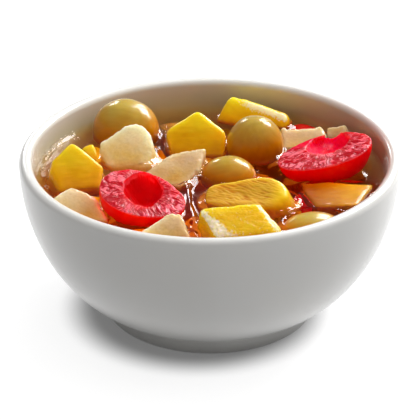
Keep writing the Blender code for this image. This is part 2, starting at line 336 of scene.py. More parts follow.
class PearSettings(bpy.types.PropertyGroup):
    """Colours and skin of the pear pieces."""

    # From low to top the colours are partly the syrup's stain and partly painted light and shade: lighter
    # where light falls, darker low down.
    top: colour_setting("Top", "Flesh that stands clear of the syrup", "#F2E8C6")
    middle: colour_setting("Middle", "Flesh near the syrup", "#E8CA74")
    low: colour_setting("Low", "Flesh at and under the syrup", "#ECBE50")
    # This tint also paints shade on pieces that stand in more light.
    soak_and_shade_tint: colour_setting("Soaked", "Tint of flesh that syrup has soaked into", "#D8BCA8")
    cell: cell_setting(0.3)
    rounding: rounding_setting(13)


class PineappleSettings(bpy.types.PropertyGroup):
    """Colours and skin of the pineapple piece."""

    flesh: colour_setting("Flesh", "Colour of the flesh", "#E4BA20")
    rim: colour_setting("Rim", "Pale rough fibres along the cut edges", "#F8E6C6")
    # Low flesh is painted lighter than the rest, as light on the side that lies in shade.
    low: colour_setting("Low", "Flesh at and under the syrup", "#FFD830")
    tear: length_setting("Tear", "Depth of the torn bands", 0.35)
    cell: cell_setting(0.26)
    rounding: rounding_setting(5)


class GrapeSettings(bpy.types.PropertyGroup):
    """Colours and skin of the peeled grapes."""

    # From low to top the colours are partly the syrup's stain and partly painted light and shade: lighter
    # where light falls, darker low down.
    top: colour_setting("Top", "Flesh that stands clear of the syrup", "#BEA850")
    middle: colour_setting("Middle", "Flesh near the syrup", "#C88800")
    low: colour_setting("Low", "Flesh at and under the syrup", "#AA6200")
    # This tint also paints shade on pieces that stand in more light.
    soak_and_shade_tint: colour_setting("Soaked", "Tint of flesh that syrup has soaked into", "#FCDCA0")
    rounds: count_setting("Rounds", "Subdivisions of each grape", 6, min=3, max=7)


class CherrySettings(bpy.types.PropertyGroup):
    """Colours and skin of the candied cherry halves."""

    skin: colour_setting("Skin", "Red outer skin", "#FF0010")
    # The underside's darker red is painted shade.
    shaded_underside: colour_setting("Underside", "Skin where the half curves under", "#DC0404")
    flesh: colour_setting("Flesh", "Red of the cut face between its fibres", "#AC0014")
    # The fibres' pale pink is partly their own colour and partly painted glints.
    fibre_and_glint: colour_setting("Fibre", "Pale pink fibres of the cut face", "#EE6C7A")
    hollow: colour_setting("Hollow", "The hollow that the stone left", "#CC0008")
    # This brighter red is a hollow painted as lit; the hollow colour above is one in shade.
    lit_hollow: colour_setting("Shallow hollow", "A hollow that light gets through to", "#EC0038")
    cell: cell_setting(0.24)


class StageSettings(bpy.types.PropertyGroup):
    """The camera, the lamps and the table."""

    elevation: angle_setting("Elevation", "How far the camera looks down", 25.6)
    aim_below: angle_setting("Aim below", "How far below the rim the camera looks", 1.76)
    distance: length_setting("Distance", "From the middle of the rim to the camera", 580.0)
    lens: number_setting("Lens", "Focal length in mm", 163.3, unit="CAMERA", min=1)
    key_power: power_setting("Key lamp", "Power of the lamp behind at the right", 5.0)
    window_power: power_setting("Window", "Power of the window's glints", 4.5)
    strip_power: power_setting("Low windows", "Power of the low windows' glints", 1.6)
    ceiling_power: power_setting("Ceiling", "Power of the matt light overhead", 15.0)
    room: share_setting("Room", "Brightness of the room all round", 0.16)
    table: share_setting("Table", "How white the table is", 0.27)
    # Round the foot the table's glow fades, which paints the bowl's shadow; these settings set how.
    table_glow: share_setting("Table glow", "Light that the table itself adds", 0.85)
    foot_glow: share_setting("Foot glow", "What is left of that light under the foot", 0.14)
    wash: share_setting("Wash", "Share of that light that reaches matt surfaces", 0.19)
    shadow_start: length_setting("Shadow start", "Radius within which the foot keeps the light down", 31.5)
    shadow_end: length_setting("Shadow end", "Radius beyond which the table is lit in full", 45.0)


# ---------------------------------------------------------------- modelling helpers


def only(piece):
    """Make one object the selected and active one."""
    if bpy.context.object and bpy.context.object.mode != "OBJECT":
        bpy.ops.object.mode_set(mode="OBJECT")
    bpy.ops.object.select_all(action="DESELECT")
    piece.select_set(True)
    bpy.context.view_layer.objects.active = piece


def named(name):
    """Name the object that was just added, and give it back selected alone."""
    piece = bpy.context.object
    piece.name = piece.data.name = name
    only(piece)
    return piece


def edit_all(piece):
    """Go into edit mode with every face of a piece selected."""
    only(piece)
    bpy.ops.object.mode_set(mode="EDIT")
    bpy.ops.mesh.select_all(action="SELECT")


def finish_with(piece, kind, **settings):
    """Add a modifier, set it and apply it."""
    only(piece)
    bpy.ops.object.modifier_add(type=kind)
    modifier = piece.modifiers[-1]
    for name, value in settings.items():
        setattr(modifier, name, value)
    bpy.ops.object.modifier_apply(modifier=modifier.name)


def turn_by(degrees):
    """Turns about X, Y and Z as a matrix."""
    return Euler([math.radians(angle) for angle in degrees]).to_matrix().to_4x4()


def axes_of(node):
    """The axes of a node's own frame, one in each column."""
    return np.array(turn_by(LIE[node]).to_3x3())


def join(pieces, name):
    """Join pieces into one object."""
    only(pieces[0])
    for piece in pieces:
        piece.select_set(True)
    bpy.ops.object.join()
    return named(name)


def hand_over(piece, material, nodes=()):
    """Give a finished piece its material, body and slot, and the nodes it stands for."""
    piece.data.materials.clear()
    piece.data.materials.append(material)
    only(piece)
    bpy.ops.object.transform_apply(location=True, rotation=True, scale=True)
    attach(piece, BODY)
    for node in nodes:
        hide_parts(node)


def noise_at(points, size, seed=0.0):
    """Smooth noise from -1 to 1 at each point; its lumps' size is in mm, the same or one per axis."""
    scaled = np.asarray(points) / (np.asarray(size) * MM) + seed
    return np.array([noise.noise(point) for point in scaled.tolist()])


def layered_noise(points, layers):
    """Layers of noise added up, each with its height, lump size and seed."""
    return sum(height * noise_at(points, size, seed) for height, size, seed in layers)


def shift_of(node, millimetres):
    """How far the noise is shifted for a piece, so that no two pieces are alike."""
    return sum(map(ord, node)) * millimetres * MM


def bell(values, middle, width):
    """1 in the middle, falling off smoothly to both sides."""
    return np.exp(-(((values - middle) / width) ** 2))


class Skin:
    """A piece's points, normals and neighbours as arrays, to shape it in code."""

    def __init__(self, piece):
        self.mesh = piece.data
        count = len(self.mesh.vertices)
        self.points = np.empty(count * 3)
        self.mesh.vertices.foreach_get("co", self.points)
        self.points = self.points.reshape(-1, 3)
        self.normals = np.array([vertex.normal[:] for vertex in self.mesh.vertices])
        pairs = np.empty(len(self.mesh.edges) * 2, dtype=np.int64)
        self.mesh.edges.foreach_get("vertices", pairs)
        self.pairs = pairs.reshape(-1, 2)
        self.links = np.bincount(pairs, minlength=count).clip(1)

    def around(self, values):
        """Each point's mean over its neighbours."""
        if values.ndim > 1:
            return np.stack([self.around(column) for column in values.T], axis=1)
        first, second = self.pairs.T
        count = len(self.links)
        total = np.bincount(first, values[second], count) + np.bincount(second, values[first], count)
        return total / self.links

    def blurred(self, values, times):
        """Values spread over the surface."""
        for _ in range(times):
            values = (values + self.around(values)) / 2
        return values

    def edges(self, cell):
        """1 on the piece's edges and corners and 0 on its flat sides."""
        # Smoothing pulls a point in where the surface is sharp. A ninth of a cell counts as an edge.
        pull = self.blurred(self.points, 3)
        sharpness = -np.einsum("ij,ij->i", pull - self.points, self.normals) / cell
        return self.blurred((sharpness * 9).clip(0, 1), 2)

    def facing(self, axis, least, slope):
        """From 0 to 1, how far the surface faces along an axis."""
        return np.clip((self.normals @ axis - least) * slope, 0, 1)

    def raise_by(self, heights):
        """Move each point out along its normal."""
        self.points = self.points + self.normals * heights[:, None]
        self.write()

    def write(self):
        """Put the points back into the mesh."""
        self.mesh.vertices.foreach_set("co", self.points.ravel())
        self.mesh.update()

    def keep(self, name, values):
        """Store a number or a vector at each point, for the material to read."""
        kind, field = ("FLOAT", "value") if values.ndim == 1 else ("FLOAT_VECTOR", "vector")
        stored = self.mesh.attributes.new(name, kind, "POINT")
        stored.data.foreach_set(field, values.astype(np.float32).ravel())


def settle(piece, node):
    """Move a piece, already turned, so that its box has the same middle as its solid's."""
    points = Skin(piece).points
    middle = Vector((points.min(0) + points.max(0)) / 2)
    low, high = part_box(node)
    piece.data.transform(Matrix.Translation((low + high) / 2 - middle))


def mark(skin, node, flesh):
    """Store what the materials read: places in the flesh, height over the syrup, which also sets painted
    light and shade, and soaking, which also paints shade.
    """
    bottom = SYRUP_LEVEL - LOW_FLESH
    height = skin.points[:, 2] - bottom
    spread = max(height.max(), SLAB_SPREAD if node == "peach_slab" else 0)
    skin.keep("flesh", flesh)
    skin.keep("rise", np.clip(height / spread, 0, 1))
    left, right = SOAK_AND_PAINTED_LIGHT.get(node, (0.0, 0.0))
    x = skin.points[:, 0]
    skin.keep("soak", left + (right - left) * (x - x.min()) / np.ptp(x))


# ---------------------------------------------------------------- material helpers


def rgba(colour):
    """A colour with full alpha."""
    return (*colour, 1.0)


def set_stops(elements, stops):
    """Set a colour ramp's places and colours."""
    while len(elements) < len(stops):
        elements.new(1.0)
    for element, (place, colour) in zip(elements, stops):
        element.position = place
        element.color = rgba(colour)


def add_node(tree, kind, sockets=None, output=0, **settings):
    """Add a node, set its properties, set or link its sockets, and give back one of its outputs."""
    made = tree.nodes.new(kind)
    for name, value in settings.items():
        if name == "stops":
            set_stops(made.color_ramp.elements, value)
        else:
            setattr(made, name, value)
    for name, value in (sockets or {}).items():
        if isinstance(value, bpy.types.NodeSocket):
            tree.links.new(value, made.inputs[name])
        else:
            made.inputs[name].default_value = value
    return made.outputs[output] if made.outputs else None


def new_material(name):
    """A material with an empty node tree, and the function that adds a node to it."""
    material = bpy.data.materials.get(name) or bpy.data.materials.new(name)
    material.use_nodes = True
    material.node_tree.nodes.clear()
    return material, partial(add_node, material.node_tree)


def lumps(vector, size, detail=4.0, rough=0.6):
    """What makes the lumps of a noise pattern about the given size in mm."""
    return {"Vector": vector, "Scale": 1 / (size * MM), "Detail": detail, "Roughness": rough}


def soaked_and_lit_by_height(add, flesh, size, amount, stops):
    """Colours from the syrup up to the piece's top, which a slow drift makes meet unevenly. They stand
    partly for syrup soaked into the flesh and partly for painted light and shade from above.
    """
    drift = add("ShaderNodeTexNoise", lumps(flesh, size, detail=2.0))
    shifted = add("ShaderNodeMath", {0: drift, 1: -0.5}, operation="ADD")
    rise = add("ShaderNodeAttribute", output="Fac", attribute_name="rise")
    uneven = add("ShaderNodeMath", {0: shifted, 1: amount, 2: rise}, operation="MULTIPLY_ADD")
    return add("ShaderNodeValToRGB", {"Fac": uneven}, stops=stops)


def tinted(add, colour, name, tint, way=DARKEN):
    """A colour tinted, or covered, as far as the piece is marked with this name."""
    mark = add("ShaderNodeAttribute", output="Fac", attribute_name=name)
    return add("ShaderNodeMix", {0: mark, 6: colour, 7: rgba(tint)}, 2, **way)


def shaded(add, colour, pattern, amount, stops):
    """A colour darkened along a pattern, by the tints at these values of it."""
    shade = add("ShaderNodeValToRGB", {"Fac": pattern}, stops=stops)
    return add("ShaderNodeMix", {0: amount, 6: colour, 7: shade}, 2, **DARKEN)


def crumbled(add, colour, flesh, size, tint):
    """A colour covered, in crumbs of the given size in mm, along a torn band of pineapple and along the
    painted highlight on a peach.
    """
    crumbs = add("ShaderNodeTexNoise", lumps(flesh, size))
    spots = add("ShaderNodeMath", {0: crumbs, 1: 2.0}, operation="MULTIPLY")
    torn = add("ShaderNodeAttribute", output="Fac", attribute_name="torn")
    total = add("ShaderNodeMath", {0: torn, 1: 1.1, 2: spots}, operation="MULTIPLY_ADD")
    share = add("ShaderNodeMapRange", {"Value": total, "From Min": 1.5, "From Max": 1.95})
    return add("ShaderNodeMix", {0: share, 6: colour, 7: rgba(tint)}, 2, **BLEND)


def let_light_through(add, shader, colour):
    """Let some of the lamps' light pass through a surface to what lies behind it."""
    way_through = add("ShaderNodeBsdfTransparent", {"Color": rgba(colour)})
    shadow = add("ShaderNodeLightPath", output="Is Shadow Ray")
    return add("ShaderNodeMixShader", {0: shadow, 1: shader, 2: way_through})


def wet_flesh(name, colour_of, relief_of, radius, glow, weight, wet, rough=0.45, shine=0.2, places="flesh"):
    """Translucent fruit flesh under a film of syrup, from functions that draw colour and relief.

    The radius is how many mm red, green and blue light travel in the flesh, and the glow is the
    light that gets through a whole piece to what lies behind it.
    """
    material, add = new_material(name)
    flesh = add("ShaderNodeAttribute", output="Vector", attribute_name=places)
    colour = colour_of(add, flesh)
    height, strength, depth = relief_of(add, flesh)
    bump = add("ShaderNodeBump", {"Height": height, "Strength": strength, "Distance": depth * MM})
    shader = add(
        "ShaderNodeBsdfPrincipled",
        {
            "Base Color": colour,
            "Roughness": rough,
            "IOR": 1.38,
            "Subsurface Weight": weight,
            "Subsurface Radius": radius,
            "Subsurface Scale": MM,
            "Specular IOR Level": shine,
            "Coat Weight": wet,
            "Coat Roughness": 0.1,
            "Coat IOR": 1.36,
            "Normal": bump,
            "Coat Normal": bump,
        },
        subsurface_method="RANDOM_WALK",
    )
    add("ShaderNodeOutputMaterial", {"Surface": let_light_through(add, shader, linear(glow))})
    return material


# ---------------------------------------------------------------- materials


def porcelain(settings):
    """Vitrified porcelain under a clear fired glaze: even, near white, with a soft shine."""
    material, add = new_material("glazed_porcelain")
    place = add("ShaderNodeTexCoord", output="Object")
    tone = add("ShaderNodeTexNoise", lumps(place, 22.0, detail=2.0))
    glaze = settings.glaze
    warm = (glaze[0], glaze[1] * 0.992, glaze[2] * 0.975)
    colour = add("ShaderNodeValToRGB", {"Fac": tone}, stops=[(0.3, warm), (0.7, glaze)])
    # A thin film of syrup clings to the inner wall and tints it. The same tint paints the wall's shade and
    # the warm light bounced onto it from the fruit.
    colour = tinted(add, colour, "film", settings.film)
    # Painted red light, bounced from the cherry, tints the wall beside it.
    colour = tinted(add, colour, "blush", settings.blush)
    # A fired glaze has a faint orange-peel surface about 2 mm from crest to crest.
    peel = add("ShaderNodeTexNoise", lumps(place, 2.0, detail=1.0))
    bump = add("ShaderNodeBump", {"Height": peel, "Strength": 0.05, "Distance": 0.03 * MM})
    shader = add(
        "ShaderNodeBsdfPrincipled",
        {
            "Base Color": colour,
            "Roughness": 0.28,
            "IOR": 1.5,
            "Coat Weight": 0.5,
            "Coat Roughness": 0.08,
            "Normal": bump,
        },
    )
    add("ShaderNodeOutputMaterial", {"Surface": shader})
    return material


def sugar_syrup(settings):
    """Light sugar syrup tinted by the fruit: clear, wet and amber where it is deep."""
    material, add = new_material("amber_sugar_syrup")
    clear = {"Base Color": rgba(WHITE), "Roughness": 0.0, "IOR": 1.37, "Transmission Weight": 1.0}
    surface = let_light_through(add, add("ShaderNodeBsdfPrincipled", clear), WHITE)
    amber = {"Color": rgba(settings.tint), "Density": settings.density}
    depth = add("ShaderNodeVolumeAbsorption", amber)
    add("ShaderNodeOutputMaterial", {"Surface": surface, "Volume": depth})
    return material


def bubble_film():
    """The thin film of a bubble: clear, with a bright glint."""
    material, add = new_material("syrup_bubble_film")
    shader = add(
        "ShaderNodeBsdfPrincipled",
        {
            "Base Color": (1.0, 0.98, 0.94, 1.0),
            "Roughness": 0.02,
            "IOR": 1.12,
            "Transmission Weight": 1.0,
            "Coat Weight": 1.0,
            "Coat Roughness": 0.02,
        },
    )
    add("ShaderNodeOutputMaterial", {"Surface": shader})
    return material


def peach_flesh(settings):
    """Poached peach: satin, close-grained and clear yellow, browner where syrup has soaked in."""

    def colour_of(add, flesh):
        stops = [(0.08, settings.low), (0.48, settings.middle), (0.9, settings.top)]
        colour = soaked_and_lit_by_height(add, flesh, 5.0, 0.4, stops)
        # The side that lay against the stone is duller; its creases are painted darker, as shade.
        colour = tinted(add, colour, "stone_side", settings.stone_side, BLEND)
        crease = add("ShaderNodeAttribute", output="Fac", attribute_name="crease")
        colour = shaded(add, colour, crease, 1.0, [(0.1, WHITE), (0.9, linear("#E2B884"))])
        # Fibres of peach flesh are about 0.3 mm thick and some millimetres long. They are drawn
        # twice as thick, so that they show.
        along = add("ShaderNodeMapping", {"Vector": flesh, "Scale": (0.15, 1.0, 1.0)})
        fibres = add("ShaderNodeTexNoise", lumps(along, 0.7, detail=3.0))
        colour = shaded(add, colour, fibres, 0.2, [(0.3, (0.80, 0.76, 0.70)), (0.6, WHITE)])
        colour = tinted(add, colour, "soak", settings.soak_and_shade_tint)
        # Along the upper edge of the die at the back right, a painted highlight lies in a pale band.
        return crumbled(add, colour, flesh, 0.9, settings.pale_and_highlit)

    def relief_of(add, flesh):
        along = add("ShaderNodeMapping", {"Vector": flesh, "Scale": (0.3, 1.0, 1.0)})
        return add("ShaderNodeTexNoise", lumps(along, 0.7, detail=2.0)), 0.3, 0.08

    radius = (4.5, 3.6, 0.6)
    return wet_flesh("poached_peach", colour_of, relief_of, radius, "#F4E4B0", weight=0.8, wet=0.6)


def pear_flesh(settings):
    """Poached pear: cream, cloudy and gritty, with tiny pale stone cells."""

    def colour_of(add, flesh):
        stops = [(0.05, settings.low), (0.4, settings.middle), (0.9, settings.top)]
        colour = soaked_and_lit_by_height(add, flesh, 4.0, 0.5, stops)
        # Thin edges are painted paler, as lit by the light that gets through them.
        colour = tinted(add, colour, "rim", settings.top, BLEND)
        # Stone cells are 0.2 to 0.5 mm. They are drawn at 0.7 mm, so that they show.
        grit = add("ShaderNodeTexNoise", lumps(flesh, 0.7, detail=2.0))
        colour = shaded(add, colour, grit, 0.4, [(0.36, (0.86, 0.82, 0.74)), (0.56, WHITE)])
        return tinted(add, colour, "soak", settings.soak_and_shade_tint)

    def relief_of(add, flesh):
        return add("ShaderNodeTexNoise", lumps(flesh, 0.8, detail=2.0)), 0.35, 0.1

    radius = (6.0, 5.4, 3.0)
    return wet_flesh("poached_pear", colour_of, relief_of, radius, "#F4EAD0", weight=0.9, wet=0.8)


def pineapple_flesh(settings):
    """Pineapple: juicy yellow flesh whose torn fibres are pale and glisten along the cuts."""

    def colour_of(add, flesh):
        # Low on the block the flesh is painted lighter, as light on its shaded side.
        colour = soaked_and_lit_by_height(add, flesh, 2.5, 0.5, [(0.0, settings.low), (0.6, settings.flesh)])
        return crumbled(add, colour, flesh, 0.8, settings.rim)

    def relief_of(add, flesh):
        along = add("ShaderNodeMapping", {"Vector": flesh, "Scale": (0.3, 1.0, 1.0)})
        return add("ShaderNodeTexNoise", lumps(along, 0.7)), 0.8, 0.2

    radius = (9.0, 8.0, 1.2)
    return wet_flesh("pineapple", colour_of, relief_of, radius, "#F4E4B0", weight=0.95, wet=0.9)


def grape_flesh(settings):
    """Peeled grape: a slick jelly of olive to amber with faint veins from end to end."""

    def colour_of(add, flesh):
        stops = [(0.05, settings.low), (0.5, settings.middle), (0.95, settings.top)]
        colour = soaked_and_lit_by_height(add, flesh, 6.0, 0.35, stops)
        # Veins lie 1 to 2 mm apart and run lengthwise.
        along = add("ShaderNodeMapping", {"Vector": flesh, "Scale": (1.0, 1.0, 0.15)})
        veins = add("ShaderNodeTexNoise", lumps(along, 1.6, detail=2.0))
        colour = shaded(add, colour, veins, 0.5, [(0.3, (0.82, 0.80, 0.7)), (0.62, WHITE)])
        return tinted(add, colour, "soak", settings.soak_and_shade_tint)

    def relief_of(add, flesh):
        return add("ShaderNodeTexNoise", lumps(flesh, 2.5, detail=2.0)), 0.25, 0.1

    radius = (6.0, 4.4, 0.8)
    slick = {"weight": 0.9, "wet": 0.7, "rough": 0.3, "shine": 0.25}
    return wet_flesh("peeled_grape", colour_of, relief_of, radius, "#F0E4B0", **slick)


def cherry_flesh(settings):
    """Candied cherry: taut glossy red skin, and a cut face of pink fibres round a deep hollow."""

    def fibres_of(add, rays):
        # Fibres of the cut face are about 0.4 mm wide and run out from the hollow.
        return add("ShaderNodeTexNoise", lumps(rays, 0.34, detail=2.0, rough=0.4))

    def colour_of(add, rays):
        cut, hollow, clumps, soak, rise = (
            add("ShaderNodeAttribute", output="Fac", attribute_name=name)
            for name in ("cut", "hollow", "clumps", "soak", "rise")
        )
        fibres = {0: clumps, 1: 0.3, 2: fibres_of(add, rays)}
        total = add("ShaderNodeMath", fibres, operation="MULTIPLY_ADD")
        # The fibres are painted pale, partly in their own colour and partly as glints.
        pale_and_highlit = add("ShaderNodeMapRange", {"Value": total, "From Min": 0.52, "From Max": 0.64})
        flesh, fibre_and_glint = rgba(settings.flesh), rgba(settings.fibre_and_glint)
        face = add("ShaderNodeMix", {0: pale_and_highlit, 6: flesh, 7: fibre_and_glint}, 2, **BLEND)
        # A hollow that faces the light is painted brighter than one in shade.
        dark, light = rgba(settings.hollow), rgba(settings.lit_hollow)
        deep = add("ShaderNodeMix", {0: soak, 6: dark, 7: light}, 2, **BLEND)
        face = add("ShaderNodeMix", {0: hollow, 6: face, 7: deep}, 2, **BLEND)
        # The skin is painted darker where the half curves under, as shade.
        stops = [(0.0, settings.shaded_underside), (0.6, settings.skin)]
        skin = add("ShaderNodeValToRGB", {"Fac": rise}, stops=stops)
        colour = add("ShaderNodeMix", {0: cut, 6: skin, 7: face}, 2, **BLEND)
        # A pale line runs along the edge of the cut.
        uncut = add("ShaderNodeMath", {0: 1.0, 1: cut}, operation="SUBTRACT")
        edge = add("ShaderNodeMath", {0: cut, 1: uncut}, operation="MULTIPLY")
        limits = {"Value": edge, "From Min": 0.1, "From Max": 0.25, "To Max": 0.45}
        line = add("ShaderNodeMapRange", limits)
        return add("ShaderNodeMix", {0: line, 6: colour, 7: fibre_and_glint}, 2, **BLEND)

    def relief_of(add, rays):
        cut = add("ShaderNodeAttribute", output="Fac", attribute_name="cut")
        on_face = add("ShaderNodeMath", {0: fibres_of(add, rays), 1: cut}, operation="MULTIPLY")
        return on_face, 1.0, 0.3

    radius = (9.0, 0.5, 0.4)
    taut = {"weight": 1.0, "wet": 0.55, "shine": 0.05, "places": "rays"}
    return wet_flesh("candied_cherry", colour_of, relief_of, radius, "#F06050", **taut)


def white_acrylic(settings):
    """A matt white table that glows, with the bowl's shadow painted round the foot, where its glow fades.
    """
    material, add = new_material("white_acrylic")
    place = add("ShaderNodeTexCoord", output="Object")
    # The glow fades towards a spot a little to the left and the front of the foot's middle: a painted
    # shadow.
    spot = (4.0 * MM, 2.5 * MM, 0)
    offset = add("ShaderNodeVectorMath", {0: place, 1: spot}, operation="ADD")
    radius = add("ShaderNodeVectorMath", {0: offset}, "Value", operation="LENGTH")
    fade = {
        "Value": radius,
        "From Min": settings.shadow_start,
        "From Max": settings.shadow_end,
        "To Min": settings.foot_glow,
        "To Max": settings.table_glow,
    }
    glow = add("ShaderNodeMapRange", fade, interpolation_type="SMOOTHSTEP")
    # Light from it reaches the eye and the glaze's reflections, but hardly washes the bowl out.
    matt = add("ShaderNodeLightPath", output="Is Diffuse Ray")
    seen = add("ShaderNodeMapRange", {"Value": matt, "To Min": 1.0, "To Max": settings.wash})
    shader = add(
        "ShaderNodeBsdfPrincipled",
        {
            "Base Color": rgba([settings.table] * 3),
            "Roughness": 0.9,
            "Emission Color": rgba(WHITE),
            "Emission Strength": add("ShaderNodeMath", {0: glow, 1: seen}, operation="MULTIPLY"),
        },
    )
    add("ShaderNodeOutputMaterial", {"Surface": shader})
    return material


# ---------------------------------------------------------------- the bowl


def arc(x, z, radius, start, end, steps):
    """Points on an arc round a middle, from one angle in degrees to another."""
    angles = [math.radians(start + (end - start) * step / steps) for step in range(steps + 1)]
    return [(x + radius * math.cos(angle), z + radius * math.sin(angle)) for angle in angles]


def bowl_profile(settings):
    """The bowl's outline as radius and height, from the recess out, up, over the lip and in."""
    lip = settings.lip / 2
    top = BOWL_HEIGHT - lip
    inside = settings.foot_radius - settings.foot_width
    bead = settings.bead
    wall_steps, lip_steps, corner_steps = 22, 14, 4
    profile = [(inside - settings.recess / 2, settings.recess)]
    profile += arc(inside + bead, bead, bead, -180, -90, corner_steps)
    profile += arc(settings.foot_radius - bead, bead, bead, -90, 0, corner_steps)
    profile.append(((settings.foot_radius + settings.crease_radius) / 2, settings.foot_height * 0.6))
    for step in range(wall_steps):
        fall = math.sin(math.radians(90) * (1 - step / wall_steps))
        reach = (1 - fall**2) ** (1 / 1.5)
        x = settings.crease_radius + (RIM_RADIUS - settings.crease_radius) * reach
        profile.append((x, top - (top - settings.foot_height) * fall))
    profile += arc(RIM_RADIUS - lip, top, lip, 0, 180, lip_steps)
    return profile + inner_wall(settings, wall_steps)[1:]


def inner_wall(settings, steps, spread=0.0):
    """The inside of the bowl from the lip down to near the axis, moved outwards by the spread."""
    top = BOWL_HEIGHT - settings.lip / 2
    floor = settings.floor - spread
    reach = RIM_RADIUS - settings.lip + spread
    points = []
    for step in range(steps):
        fall = math.sin(math.radians(90) * step / steps)
        points.append((reach * (1 - fall**2) ** (1 / 3.6), floor + (top - floor) * (1 - fall)))
    return points


def turned(name, facets, profile):
    """Raise a round piece from a disc, ring by ring, along an outline of radius and height."""
    radius, height = profile[0]
    bpy.ops.object.select_all(action="DESELECT")
    bpy.ops.mesh.primitive_circle_add(vertices=facets, radius=radius, fill_type="NGON")
    piece = named(name)
    piece.data.transform(Matrix.Translation((0, 0, height)))
    edit_all(piece)
    for new_radius, new_height in profile[1:]:
        rise = (0, 0, new_height - height)
        bpy.ops.mesh.extrude_region_move(TRANSFORM_OT_translate={"value": rise})
        scale = new_radius / radius
        bpy.ops.transform.resize(value=(scale, scale, 1), center_override=(0, 0, 0))
        radius, height = new_radius, new_height
    bpy.ops.mesh.poke()
    close_up()
    return piece


def close_up():
    """Point every face outwards and leave edit mode."""
    bpy.ops.mesh.select_all(action="SELECT")
    bpy.ops.mesh.normals_make_consistent(inside=False)
    bpy.ops.object.mode_set(mode="OBJECT")


def keep_film_shade_and_bounce(skin, settings):
    """Mark how thick a film of syrup clings to the inner wall, which thins out above the level; the mark
    also paints shade and warm bounced light there, and a second mark paints the cherry's red light beside
    it.
    """
    x, y, z = skin.points.T
    out = skin.points[:, :2] / np.hypot(x, y).clip(MM)[:, None]
    # The inner wall's normals point towards the axis. The film ends softly over the lip.
    inside = np.clip(-2.5 * np.einsum("ij,ij->i", out, skin.normals[:, :2]), 0, 1)
    height = (z - SYRUP_LEVEL) / settings.film_height
    above = np.clip(height, 0, 1)
    skin.keep("film", inside * (1 - above))
    # The painted red light from the cherry is weaker below the level, where the syrup itself is tinted, and
    # at its top.
    in_air = np.clip(1 + height * 5, 0.3, 1)
    beside = bell(np.arctan2(y, x), settings.painted_red_bounce_place, settings.painted_red_bounce_width)
    skin.keep("blush", inside * in_air * (1 - 0.4 * above) * beside)


class SALAD_OT_bowl(bpy.types.Operator):
    """Raise the porcelain bowl from a disc, ring by ring, up the outside and down the inside"""

    bl_idname = "salad.bowl"
    bl_label = "Bowl"

    def execute(self, context):
        settings = context.scene.salad_bowl
        bowl = turned("porcelain_bowl", settings.facets, bowl_profile(settings))
        bpy.ops.object.shade_smooth_by_angle(angle=math.radians(35))
        keep_film_shade_and_bounce(Skin(bowl), settings)
        hand_over(bowl, porcelain(settings), ["bowl"])
        return {"FINISHED"}


# ---------------------------------------------------------------- diced fruit


def rebuilt(node, cell, rounding):
    """A merged copy of a node's solid, rebuilt as a skin of small even faces with softened edges."""
    piece = bpy.data.objects.new("cut_" + node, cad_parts[node].data.copy())
    bpy.context.scene.collection.objects.link(piece)
    edit_all(piece)
    bpy.ops.mesh.remove_doubles(threshold=0.001 * MM)
    bpy.ops.object.mode_set(mode="OBJECT")
    finish_with(piece, "REMESH", mode="VOXEL", voxel_size=cell)
    finish_with(piece, "SMOOTH", factor=0.5, iterations=rounding)
    bpy.ops.object.shade_smooth()
    return piece


def own_places(skin, node):
    """Each point in the piece's own upright frame, from the middle of its solid."""
    low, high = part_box(node)
    return (skin.points - np.array((low + high) / 2)) @ axes_of(node)


def cut_relief(fruit, flesh, edges):
    """The relief of cut flesh, and edges that have worn or crumbled, as heights."""
    depth, size, seed, least, most = WEAR[fruit]
    crumbs = np.clip(noise_at(flesh, size, seed) + least, 0, most)
    return (layered_noise(flesh, RELIEF[fruit]) - depth * edges * crumbs) * MM


def wrinkle(skin, flesh, height):
    """Wrinkle the wedge's side that lay against the stone; its right end was cut smooth."""
    x, y, z = flesh.T
    # The wrinkles fade out from 5 to 9 mm right of the middle.
    wrinkled = np.clip((9.0 * MM - x) / (4.0 * MM), 0, 1)
    side = skin.blurred(skin.facing(axes_of("peach_wedge")[:, 2], 0.75, 6) * wrinkled, 6)
    # The folds run askew and wander.
    bend = x * 0.22 + 1.2 * MM * noise_at(flesh, 7, 1.3)
    bent = np.stack([x, y + bend, z], axis=1)
    folds = 1 - 3 * np.abs(noise_at(bent, (4.5, 0.85, 3.5), 3.7))
    shape = 0.5 * folds + 0.7 * noise_at(bent, (1.8, 0.4, 1.4), 5.9)
    skin.keep("stone_side", 0.75 * side)
    # The low places of the folds are marked for painted shade.
    skin.keep("crease", side * np.clip(0.1 - shape, 0, 1))
    return side * shape * height


def torn_bands(skin, flesh, edges):
    """1 where the pineapple's top is torn: in a broad band at its left and a thin one at its right."""
    x, y, _ = flesh.T / MM
    wander = 0.9 * noise_at(flesh, 2.2, 5.1)
    # Both bands lean with the block's sides, and the left one widens towards the front.
    ahead = 4.0 - y
    left = bell(x + wander, 0.6 * ahead - 9.8, 1.2 + 0.3 * ahead)
    right = bell(x + wander, 6.6 + 0.55 * (5.4 - y), 1.0)
    top = skin.blurred(skin.facing(axes_of("pineapple_front")[:, 2], 0.5, 4), 3)
    return np.clip(top * (left + right + 0.25) + 0.35 * edges, 0, 1)


def shoulder(flesh):
    """How far the upper left corner of the die at the back right swells out of its solid."""
    x, y, _ = flesh.T / MM
    swell = 2.4 * MM * bell(x, -9, 3.6) * np.clip((y + 3) / 5, 0, 1)
    return np.outer(swell, axes_of("peach_back_right")[:, 1])


